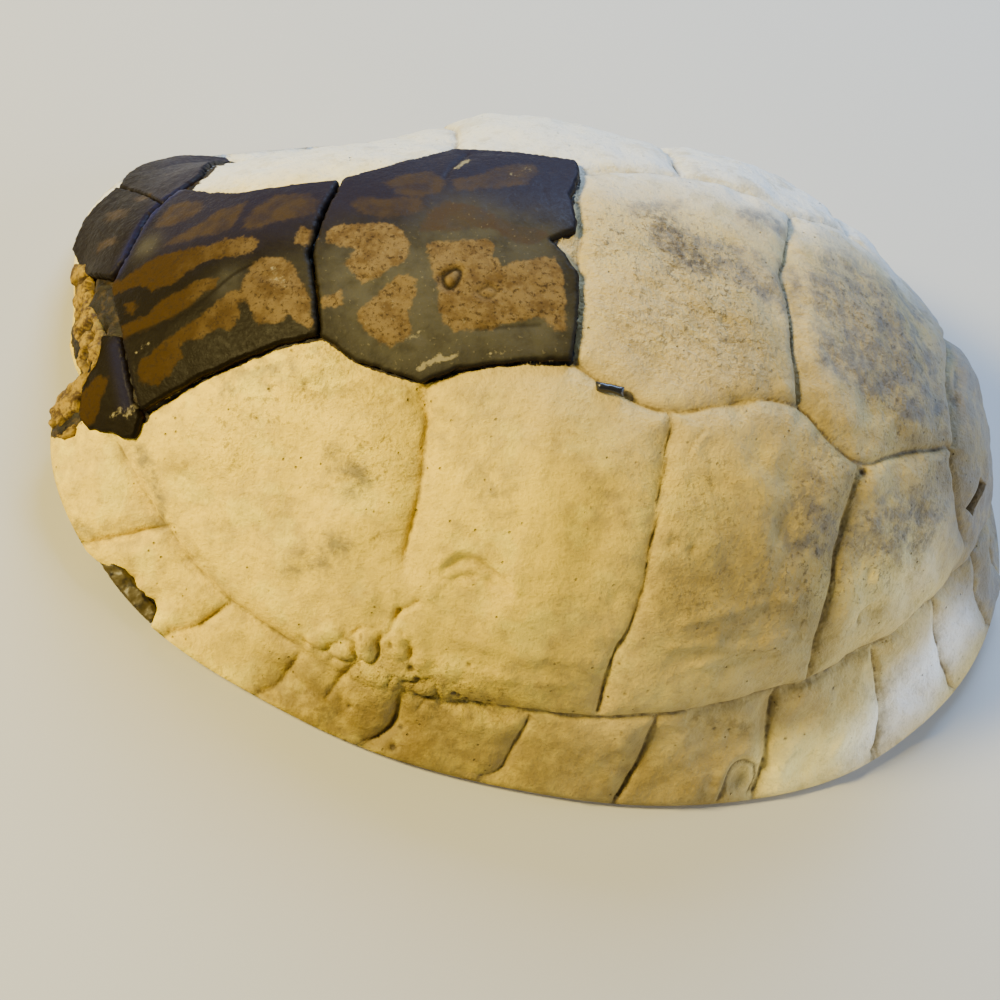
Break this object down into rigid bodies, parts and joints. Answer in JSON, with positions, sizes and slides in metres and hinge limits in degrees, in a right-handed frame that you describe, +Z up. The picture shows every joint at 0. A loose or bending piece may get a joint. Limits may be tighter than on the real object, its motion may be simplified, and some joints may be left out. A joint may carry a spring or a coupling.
{
  "type": "box turtle shell",
  "caption": "Domed upper shell of a box turtle: bleached bone with grooved seams, hollow below, and dark keratin scutes left at the head end.",
  "frame": {"origin": "under the middle of the shell, on the surface that its side rims rest on", "axes": "+X along the length towards the tail end, +Y across towards the turtle's right side, +Z up through the dome"},
  "size_m": [0.1404, 0.1054, 0.0492],
  "materials": {
    "bone": "matte",
    "keratin": "satin",
    "crust": "matte"
  },
  "bodies": {
    "root": {"carapace": "bone", "scute_vertebral_1": "keratin", "scute_vertebral_2": "keratin", "scute_marginal_right_1": "keratin", "scute_marginal_right_2": "keratin", "scute_marginal_left_1": "keratin", "scute_marginal_left_2": "keratin", "scute_splinter": "keratin", "edge_crust": "crust"}
  },
  "joints": []
}
